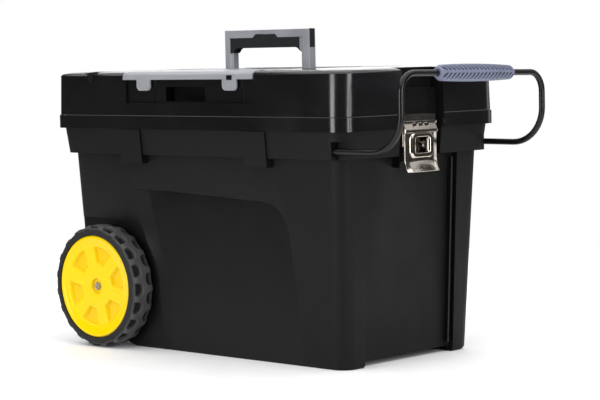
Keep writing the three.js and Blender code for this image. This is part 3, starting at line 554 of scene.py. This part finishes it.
def axle_cap(sign):
    bm = bmesh.new()
    capped(bm, [[on_wheel(radius, math.tau * k / CAP_AROUND, sign * out) for k in range(CAP_AROUND)]
                for radius, out in CAP_PROFILE])
    name = side_name(sign)
    piece = add_piece("push_cap_" + name, bm, "tub", "nickel", ("axle_cap_" + name,), SHARP_TURN)
    # painted shade: the cap takes the darker copy of the metal
    piece.data.materials[0] = materials["shaded_cap"]


for side in (-1, 1):
    tyre(side)
    hub(side)
    axle_cap(side)


# ---------- pull handle ----------
BEND_STEPS = 12                         # to each rounded corner
KAPPA = 0.5523                          # makes a cubic curve close to a quarter circle
WIRE_SIDES = 24
HANDLE_CREASE = 60.0                    # degrees
BAR_LIFT = 0.75
BAR_TILT = -0.0165                      # the cross bar sinks a little towards the far side


def bend(start, corner, end):
    """Points of a rounded corner, from start to end."""
    a = start.lerp(corner, KAPPA)
    b = end.lerp(corner, KAPPA)
    points = []
    for i in range(BEND_STEPS + 1):
        t = i / BEND_STEPS
        s = 1 - t
        points.append(start * s ** 3 + a * (3 * s * s * t) + b * (3 * s * t * t) + end * t ** 3)
    return points


def bar_height(y):
    return WIRE_TOP + BAR_LIFT + BAR_TILT * y


def half_bail(sign):
    """One arm of the wire, from its end in the rim to the cross bar."""
    y = sign * WIRE_Y
    top = bar_height(y)
    turned = y - sign * BEND_TOP
    low = bend(at(WIRE_OUT - BEND_LOW, y, WIRE_Z), at(WIRE_OUT, y, WIRE_Z),
               at(WIRE_OUT, y, WIRE_Z + BEND_LOW))
    high = bend(at(WIRE_OUT, y, top - BEND_TOP), at(WIRE_OUT, y, top),
                at(WIRE_OUT, turned, bar_height(turned)))
    return [at(WIRE_END, y, WIRE_Z), *low, *high]


def pull_wire():
    bm = bmesh.new()
    tube(bm, half_bail(-1) + half_bail(1)[::-1], WIRE_R, WIRE_SIDES)
    add_piece("bent_wire", bm, "pull_handle", "wire", ("pull_wire",), HANDLE_CREASE)


GRIP_HALF, GRIP_MID = 84.0, 2.4
GRIP_AROUND, GRIP_ALONG = 96, 330       # quads
GRIP_FAT, GRIP_FAT_Y = 12.5, -10.0      # the barrel's greatest radius, and where it is
GRIP_THINNING = 0.0003                  # per square millimetre away from there
GRIP_NOSE, GRIP_NOSE_LONG = 3.6, 8.0    # the rounding of the ends
GRIP_GAP = 0.3                          # between the wire and the grip's bore
SLOT_PITCH = 8.5
SLOT_DEEP = 2.2
SLOT_WALL = (1.8, 2.6)                  # the slots' walls, from the middle of each slot
SLOT_SLANT = 9.0                        # how far the slots run along the grip, per radian
SLOT_FREE = (4.0, 6.0)                  # the slots stop this far from the ends
BANDS = ((math.radians(19), math.radians(72)), (math.radians(-48), math.radians(1)))
BAND_EDGE = (-0.01, 0.07)               # radians


def grip_radius(y):
    """Outer radius of the soft grip, at a distance along it from its middle."""
    barrel = GRIP_FAT - GRIP_THINNING * (y - GRIP_FAT_Y) ** 2
    return barrel - GRIP_NOSE * (1 - smooth(0.0, GRIP_NOSE_LONG, GRIP_HALF - abs(y)))


def grip_slot(y, angle):
    """Share of the full depth of the slanted finger slots, in two bands on each side."""
    depth = 0.0
    middle = (BANDS[0][0] + BANDS[1][1]) / 2
    for turn in (0.0, math.pi):
        off = (angle - turn + math.pi) % math.tau - math.pi
        for low, high in BANDS:
            inside = min(off - low, high - off)
            slanted = (y + abs(off - middle) * SLOT_SLANT) / SLOT_PITCH
            over = abs(slanted % 1.0 - 0.5) * SLOT_PITCH
            depth = max(depth, smooth(*BAND_EDGE, inside) * (1 - smooth(*SLOT_WALL, over)))
    return depth * smooth(*SLOT_FREE, GRIP_HALF - abs(y))


def on_grip(radius, angle, y):
    return at(WIRE_OUT + radius * math.cos(angle), y, bar_height(y) + radius * math.sin(angle))


def pull_grip():
    bm = bmesh.new()
    angles = [math.tau * k / GRIP_AROUND for k in range(GRIP_AROUND)]
    rows, depths = [], []
    for k in range(GRIP_ALONG + 1):
        y = -GRIP_HALF + 2 * GRIP_HALF * k / GRIP_ALONG
        slots = [grip_slot(y, angle) for angle in angles]
        rows.append([on_grip(grip_radius(y) - SLOT_DEEP * slot, angle, GRIP_MID + y)
                     for angle, slot in zip(angles, slots)])
        depths += slots
    first, last = ([on_grip(WIRE_R + GRIP_GAP, angle, GRIP_MID + y) for angle in angles]
                   for y in (-GRIP_HALF, GRIP_HALF))
    surface(bm, [first, *rows, last], wrap_rows=True, wrap_columns=True)
    piece = add_piece("soft_grip", bm, "pull_handle", "pull_grip", ("pull_grip",), HANDLE_CREASE)
    bore = [0.0] * GRIP_AROUND
    set_depth(piece.data, bore + depths + bore)


pull_wire()
pull_grip()


# ---------- carry handle ----------
RIB_IN, WEB_OUT = 3.5, 2.0              # a leg's rib is narrower than the leg, and its web wider
WEB_SET = 1.0                           # the webs lie this far behind the ribs' faces
RIB_STEP = 0.4                          # width of the slope between rib and web
GUSSET = 4.5                            # the webs widen this much where they meet the bar
GUSSET_TOP, GUSSET_LOW = 17.0, 23.0     # below the bar
BAR_DEEP = 12.0
FOOT_DEEP = 5.0                         # the legs end this far below their pivots
ARCH = ((-27.0, -21.0), (20.0, 26.0))   # X of the slopes at both ends of the bar's arch
ARCH_RISE, ARCH_GAP = 5.5, 0.2
BOW_ROUND, INSERT_ROUND, PAD_ROUND = 0.5, 1.2, 0.4
INSERT_LEFT, INSERT_RIGHT = 11.5, 21.5  # from the handle's sides
INSERT_PROUD = 0.4
INSERT_SEGMENTS = 3
# Outlines of the insert's ends, as X from that side of it and depth below the bar.
INSERT_START = ((0.0, 0.0), (0.0, 23.5), (7.0, 22.5), (11.0, 17.5), (15.0, 15.5))
INSERT_END = ((-7.0, 15.5), (-3.0, 16.5), (3.0, 21.0), (5.0, 22.0), (0.0, 17.0), (0.0, 0.0))
PAD_IN, PAD_OUT, PAD_OVER = 2.0, 1.2, 0.3
PAD_Y, PAD_LOW = (-5.6, 4.6), 457.0


def bow_outline(leg, gusset):
    left, right = CARRY_MID - CARRY_HALF, CARRY_MID + CARRY_HALF
    low, bar = CARRY_PIVOT_Z - FOOT_DEEP, CARRY_TOP - BAR_DEEP
    return [
        (left, low), (left + leg, low), (left + leg, bar - GUSSET_LOW),
        (left + leg + gusset, bar - GUSSET_TOP), (left + leg + gusset, bar),
        (ARCH[0][0], bar), (ARCH[0][1], bar + ARCH_RISE),
        (ARCH[1][0], bar + ARCH_RISE), (ARCH[1][1], bar),
        (right - leg - gusset, bar), (right - leg - gusset, bar - GUSSET_TOP),
        (right - leg, bar - GUSSET_LOW), (right - leg, low), (right, low),
        (right, CARRY_TOP), (left, CARRY_TOP),
    ]


def carry_frame():
    """The grey frame: ribs along both faces of the legs, and webs set back between them."""
    bm = bmesh.new()
    rib, web = CARRY_LEG - RIB_IN, CARRY_LEG + WEB_OUT
    half = [(-CARRY_HALF_T, rib, 0.0), (WEB_SET - CARRY_HALF_T, rib + RIB_STEP, 0.0),
            (WEB_SET + RIB_STEP - CARRY_HALF_T, web, GUSSET)]
    layers = half + [(-y, leg, gusset) for y, leg, gusset in reversed(half)]
    capped(bm, [[at(x, y, z) for x, z in bow_outline(leg, gusset)] for y, leg, gusset in layers])
    piece = add_piece("carry_bow", bm, "carry_handle", "grey_plastic", ("carry_handle_frame",))
    round_edges(piece, BOW_ROUND)


def carry_insert():
    """The dark grip under the bar, which reaches down the left leg."""
    bm = bmesh.new()
    left = CARRY_MID - CARRY_HALF + INSERT_LEFT
    right = CARRY_MID + CARRY_HALF - INSERT_RIGHT
    bar = CARRY_TOP - BAR_DEEP
    arch = bar + ARCH_RISE - ARCH_GAP
    outline = [(left + x, bar - drop) for x, drop in INSERT_START]
    outline += [(right + x, bar - drop) for x, drop in INSERT_END]
    outline += [(ARCH[1][1], bar), (ARCH[1][0], arch), (ARCH[0][1], arch), (ARCH[0][0], bar)]
    half = CARRY_HALF_T + INSERT_PROUD
    prism(bm, [at(x, -half, z) for x, z in outline], Vector((0, 2 * half * MM, 0)))
    piece = add_piece("carry_insert", bm, "carry_handle", "carry_grip", ("carry_handle_grip",))
    round_edges(piece, INSERT_ROUND, INSERT_SEGMENTS)


def carry_side_pads():
    """Dark pads let into the outer faces of the frame's legs."""
    bm = bmesh.new()
    for sign in (-1, 1):
        face = CARRY_MID + sign * CARRY_HALF
        inner, outer = sorted((face - sign * PAD_IN, face + sign * PAD_OUT))
        block(bm, inner, outer, *PAD_Y, PAD_LOW, CARRY_TOP + PAD_OVER)
    round_edges(add_piece("carry_side_pads", bm, "carry_handle", "carry_grip"), PAD_ROUND)


carry_frame()
carry_insert()
carry_side_pads()


# ---------- organizer covers ----------
# Profile of the rounded front, as distance in from the edge and drop from the top.
CROWN = ((24.0, 0.0), (18.0, 0.15), (12.0, 0.6), (8.5, 1.1), (5.5, 1.9), (3.2, 2.8), (1.6, 3.8),
         (0.5, 5.0), (0.0, 6.4))
COVER_TOP = DECK_Z + 0.4
COVER_SHEET, COVER_DRAFT = 2.1, 0.4
LIP_Z = 412.5
COVER_CREASE = 40.0                     # degrees
PIVOT_IN, PIVOT_R, PIVOT_SIDES = 14.0, 2.0, 12          # the bar on which a cover turns
TAB_X = 91.0                            # from the cover's middle
TAB_HALF, TAB_LOW, TAB_R = 14.5, 396.2, 6.0
TAB_STEPS = 6                           # to each rounded corner
TAB_THICK, TAB_OVER, TAB_PROUD = 2.0, 3.0, 0.2
RIM_IN, RIM_R, RIM_PROUD, RIM_SIDES = 1.2, 1.3, 0.1, 10
WINDOW_X, WINDOW_Z = (85.0, 96.0), (411.5, 418.5)
WINDOW_IN, WINDOW_PROUD = 1.0, 0.5


def tab_outline(x, inset, top):
    """A tab's outline, from the top of one side round both lower corners to the other."""
    half, low = TAB_HALF - inset, TAB_LOW + inset
    points = [(x + half, top)]
    for corner, start in ((1, 0), (-1, -90)):
        for k in range(TAB_STEPS + 1):
            a = math.radians(start - 90 * k / TAB_STEPS)
            points.append((x + corner * (half - TAB_R) + TAB_R * math.cos(a),
                           low + TAB_R + TAB_R * math.sin(a)))
    points.append((x - half, top))
    return points


def cover_tab(bm, sign, x):
    """Snap tab on the front lip, with a rounded lower end and a raised rim around it."""
    front = COVER_EDGE + TAB_PROUD
    plate = tab_outline(x, 0.0, LIP_Z + TAB_OVER)
    prism(bm, [at(px, sign * (front - TAB_THICK), pz) for px, pz in plate],
          Vector((0, sign * TAB_THICK * MM, 0)))
    rim = tab_outline(x, RIM_IN, LIP_Z)[::-1]
    tube(bm, [at(px, sign * (front + RIM_PROUD), pz) for px, pz in rim], RIM_R, RIM_SIDES)


def cover(sign):
    bm = bmesh.new()
    top = [(COVER_AXIS_Y, COVER_TOP)]
    top += [(COVER_EDGE - inwards, COVER_TOP - drop) for inwards, drop in CROWN]
    top += [(COVER_EDGE, LIP_Z)]
    inner = COVER_EDGE - COVER_SHEET
    under = [(inner, LIP_Z)]
    under += [(min(y - COVER_DRAFT, inner), z - COVER_SHEET) for y, z in top[-2:1:-1]]
    under += [(COVER_AXIS_Y, COVER_TOP - COVER_SHEET)]
    left = COVER_MID - COVER_HALF
    prism(bm, [at(left, sign * y, z) for y, z in top + under], Vector((2 * COVER_HALF * MM, 0, 0)))
    for end in (-1, 1):
        cover_tab(bm, sign, COVER_MID + end * TAB_X)
    tube(bm, [at(COVER_MID + end * (COVER_HALF - PIVOT_IN), sign * COVER_AXIS_Y, COVER_AXIS_Z)
              for end in (-1, 1)], PIVOT_R, PIVOT_SIDES)
    name = side_name(sign)
    add_piece("clear_cover_" + name, bm, "cover_" + name, "clear_cover",
              ("organizer_cover_" + name,), COVER_CREASE)


def snap_window(sign):
    """The small dark opening above the snap tab at the latch end."""
    bm = bmesh.new()
    back, front = sorted((sign * (COVER_EDGE - WINDOW_IN), sign * (COVER_EDGE + WINDOW_PROUD)))
    block(bm, COVER_MID + WINDOW_X[0], COVER_MID + WINDOW_X[1], back, front, *WINDOW_Z)
    name = side_name(sign)
    add_piece("snap_window_" + name, bm, "cover_" + name, "lid_plastic")


for side in (-1, 1):
    cover(side)
    snap_window(side)


# ---------- latch ----------
SHEET_ACROSS = 92                       # quads across a pressed sheet
SHEET_CREASE = 55.0                     # degrees
LATCH_ROUND = 0.4
LEVER_LOW, LEVER_HIGH, LEVER_UP = 275.5, 331.0, 78
FRAME_Z, FRAME_HALF_Y, FRAME_HALF_Z = 313.2, 23.5, 17.2
FRAME_CORNER, FRAME_WIDE, FRAME_OUT = 7.0, 7.5, 3.0
FRAME_FOOT, FRAME_BROW = 0.6, 0.9       # its walls slope from outside its outline to inside
CURL_Z = 294.0                          # where the lower lip starts to curl outwards
CURL_OUT, CURL_POWER, LIP_BOW = 5.6, 1.8, 2.6
FLANGE, FLANGE_DROP, FLANGE_POWER = 9.0, 1.4, 1.2       # the sides slope back towards the ears
OPENING_HALF, OPENING_LOW, OPENING_HIGH = 13.0, 302.0, 325.0        # for the padlock's staple
EAR_BACK, EAR_GAP, EAR_Z, EAR_ROUND = 291.6, 0.6, (309.0, 330.0), 0.5
CLAW_LOW, CLAW_HIGH, CLAW_HALF, CLAW_UP = 331.6, 348.0, 38.4, 40
CLAW_SET, CLAW_LEAN = 0.6, 3.4
CLAW_EDGE, CLAW_DROP = 3.5, 2.0         # its rounded sides
CLAW_SLOTS, CLAW_SLOT_Z = (-13.5, 0.0, 13.5), 342.6
CLAW_SLOT_WIDE, CLAW_SLOT_HIGH, CLAW_SLOT_DEEP = 3.4, 1.5, 0.5
CLAW_SLOT_WALL = (0.4, 1.4)
ARM_BACK, ARM_GAP, ARM_Z, ARM_ROUND = 292.4, 0.8, (312.0, 347.0), 0.6


def frame_ring(y, z):
    """1 on the rounded frame pressed out around the opening, 0 away from it."""
    across, up = FRAME_HALF_Y - abs(y), FRAME_HALF_Z - abs(z - FRAME_Z)
    inside = min(across, up)
    if inside < FRAME_CORNER:
        inside = FRAME_CORNER - math.hypot(max(FRAME_CORNER - across, 0), max(FRAME_CORNER - up, 0))
    hole = smooth(FRAME_WIDE - FRAME_BROW, FRAME_WIDE + FRAME_FOOT, inside)
    return smooth(-FRAME_FOOT, FRAME_BROW, inside) * (1 - hole)


def lever_height(y, z):
    """How far the lever's front stands out from its flat sheet."""
    below = max(0.0, (CURL_Z - z) / (CURL_Z - LEVER_LOW))
    bow = 1 - (y / LEVER_HALF) ** 2
    lip = CURL_OUT * below ** CURL_POWER + LIP_BOW * bow * smooth(0.0, 1.0, below)
    edge = min((LEVER_HALF - abs(y)) / FLANGE, 1.0)
    return FRAME_OUT * frame_ring(y, z) + lip - FLANGE_DROP * (1 - edge) ** FLANGE_POWER


def in_opening(y, z):
    return abs(y) < OPENING_HALF and OPENING_LOW < z < OPENING_HIGH


def claw_slot(y, z):
    """Share of the depth of the three slots pressed into the claw, which also sets their painted shade.
    """
    beside = min(max(abs(y - slot) - CLAW_SLOT_WIDE, 0.0) for slot in CLAW_SLOTS)
    above = max(abs(z - CLAW_SLOT_Z) - CLAW_SLOT_HIGH, 0.0)
    return 1 - smooth(*CLAW_SLOT_WALL, beside + above)


def claw_height(y, z):
    """The claw leans back towards its top, and its sides are rounded."""
    height = CLAW_LEAN * smooth(CLAW_HIGH, CLAW_LOW, z) - CLAW_SLOT_DEEP * claw_slot(y, z)
    return height - CLAW_DROP * (1 - smooth(0.0, CLAW_EDGE, CLAW_HALF - abs(y))) ** 2


def spread(low, high, count):
    """Evenly spaced values from low to high, count steps apart."""
    return [low + (high - low) * k / count for k in range(count + 1)]


def sheet_piece(name, ys, zs, height, base, node, opening=None):
    """A pressed sheet: a grid over Y and Z whose front follows height(y, z), less its opening.

    It replaces the CAD node that gives its body its name.
    """
    bm = bmesh.new()
    surface(bm, [[at(base + height(y, z), y, z) for y in ys] for z in zs])
    if opening:
        centres = [(face, face.calc_center_median() / MM) for face in bm.faces]
        cut = [face for face, centre in centres if opening(centre.y, centre.z)]
        bmesh.ops.delete(bm, geom=cut, context="FACES")
    piece = add_piece(name, bm, node, "nickel", (node,), SHEET_CREASE)
    solid = piece.modifiers.new("sheet thickness", "SOLIDIFY")
    solid.thickness = SHEET * MM
    solid.offset = -1
    return piece


def side_plates(name, body, half, back, front, heights, width):
    """The two upright plates that join a pressed face to its pins."""
    bm = bmesh.new()
    for sign in (-1, 1):
        inner, outer = sorted((sign * (half - SHEET), sign * half))
        block(bm, back, front, inner, outer, *heights)
    round_edges(add_piece(name, bm, body, "nickel"), width)


def latch_lever():
    ys = spread(-LEVER_HALF, LEVER_HALF, SHEET_ACROSS)
    zs = spread(LEVER_LOW, LEVER_HIGH, LEVER_UP)
    sheet_piece("pressed_lever", ys, zs, lever_height, LEVER_X + SHEET, "latch_lever", in_opening)
    side_plates("lever_ears", "latch_lever", LEVER_HALF, EAR_BACK, LEVER_X - EAR_GAP, EAR_Z, EAR_ROUND)


def latch_claw():
    ys = spread(-CLAW_HALF, CLAW_HALF, SHEET_ACROSS)
    zs = spread(CLAW_LOW, CLAW_HIGH, CLAW_UP)
    face = sheet_piece("claw_face", ys, zs, claw_height, LEVER_X - CLAW_SET, "latch_claw")
    # painted shade in the claw's slots
    set_depth(face.data, [claw_slot(y, z) for z in zs for y in ys])
    side_plates("claw_arms", "latch_claw", CLAW_HALF, ARM_BACK, LEVER_X - ARM_GAP, ARM_Z, ARM_ROUND)


latch_lever()
latch_claw()
from_cad("strike_plate", LATCH_ROUND)
# the base plate takes the darker metal, a painted shade inside the lever's opening
from_cad("latch_base", LATCH_ROUND).data.materials[0] = materials["shaded_base"]

# ---------- finishes of the CAD pieces that still show ----------
for node, piece in NODES.items():
    if not piece.hide_render:
        piece.data.materials.clear()
        piece.data.materials.append(materials[SLOTS[node]])


# ---------- floor, light and camera, in metres ----------
FLOOR_R, FLOOR_SIDES = 1.5, 96
FLOOR_LOOK = dict(colour=(0.86, 0.86, 0.86), roughness=0.8, grain=30, depth=0.0002, mottle=0.01,
                  specular=0.2)
LIGHT_AIM = (0, 0, 0.22)
SOFTBOXES = (               # name, place, width and height, and power in watts
    ("left_strip", (-0.29, -2.6, 0.65), (1.05, 1.2), 35),
    ("right_strip", (2.73, -0.28, 0.65), (1.05, 1.2), 33),
    ("back", (-2.2, 2.6, 1.1), (3.0, 1.6), 27),
    ("far_card", (0.9, 2.7, 0.8), (1.2, 1.4), 6),
    ("latch_card", (1.9, 1.96, 1.45), (1.0, 0.9), 1.6),
)
OVERHEAD_POWER, OVERHEAD_SPREAD, OVERHEAD_Z = 4.0, math.radians(110), 3
WORLD_LIGHT = 0.035
CAMERA_AT = (2.118116, -2.253608, 0.453579)
CAMERA_TURN, CAMERA_PITCH, CAMERA_ROLL = math.radians(43.030), math.radians(4.235), math.radians(1.150)
LENS, SENSOR = 122.1, 36.0              # millimetres


def floor():
    bm = bmesh.new()
    bmesh.ops.create_circle(bm, cap_ends=True, radius=FLOOR_R, segments=FLOOR_SIDES)
    mesh = bpy.data.meshes.new("floor")
    bm.to_mesh(mesh)
    bm.free()
    mesh.materials.append(finish("floor", **FLOOR_LOOK))
    plane = bpy.data.objects.new("floor", mesh)
    bpy.context.scene.collection.objects.link(plane)


def softbox(name, place, size, power):
    """An area light at place, aimed at the middle of the box."""
    light = bpy.data.lights.new(name, "AREA")
    light.shape = "RECTANGLE"
    light.size, light.size_y = size
    light.energy = power
    lamp = bpy.data.objects.new(name, light)
    lamp.location = place
    aim = Vector(LIGHT_AIM) - Vector(place)
    lamp.rotation_euler = aim.to_track_quat("-Z", "Y").to_euler()
    bpy.context.scene.collection.objects.link(lamp)


def overhead():
    """A wide even light from above, which keeps the floor white all the way back."""
    light = bpy.data.lights.new("overhead", "SUN")
    light.energy = OVERHEAD_POWER
    light.angle = OVERHEAD_SPREAD
    lamp = bpy.data.objects.new("overhead", light)
    lamp.location = (0, 0, OVERHEAD_Z)
    bpy.context.scene.collection.objects.link(lamp)


def world():
    sky = bpy.data.worlds.new("studio")
    sky.use_nodes = True
    nodes, links = sky.node_tree.nodes, sky.node_tree.links
    seen = nodes["Background"]
    seen.inputs["Color"].default_value = (1, 1, 1, 1)
    lighting = nodes.new("ShaderNodeBackground")
    lighting.inputs["Color"].default_value = (1, 1, 1, 1)
    lighting.inputs["Strength"].default_value = WORLD_LIGHT
    choice = nodes.new("ShaderNodeMixShader")
    path = nodes.new("ShaderNodeLightPath")
    links.new(path.outputs["Is Camera Ray"], choice.inputs["Fac"])
    links.new(lighting.outputs["Background"], choice.inputs[1])
    links.new(seen.outputs["Background"], choice.inputs[2])
    links.new(choice.outputs["Shader"], nodes["World Output"].inputs["Surface"])
    bpy.context.scene.world = sky


def camera():
    level = math.cos(CAMERA_PITCH)
    back = Vector((math.sin(CAMERA_TURN) * level, -math.cos(CAMERA_TURN) * level,
                   math.sin(CAMERA_PITCH)))
    right = Vector((math.cos(CAMERA_TURN), math.sin(CAMERA_TURN), 0))
    up = back.cross(right)
    across = right * math.cos(CAMERA_ROLL) - up * math.sin(CAMERA_ROLL)
    upright = right * math.sin(CAMERA_ROLL) + up * math.cos(CAMERA_ROLL)
    view = bpy.data.cameras.new("camera")
    view.lens = LENS
    view.sensor_width = SENSOR
    eye = bpy.data.objects.new("camera", view)
    axes = Matrix((across, upright, back)).transposed().to_4x4()
    eye.matrix_world = Matrix.Translation(CAMERA_AT) @ axes
    bpy.context.scene.collection.objects.link(eye)
    bpy.context.scene.camera = eye


floor()
world()
overhead()
for box in SOFTBOXES:
    softbox(*box)
camera()
bpy.context.scene.view_settings.view_transform = "Standard"
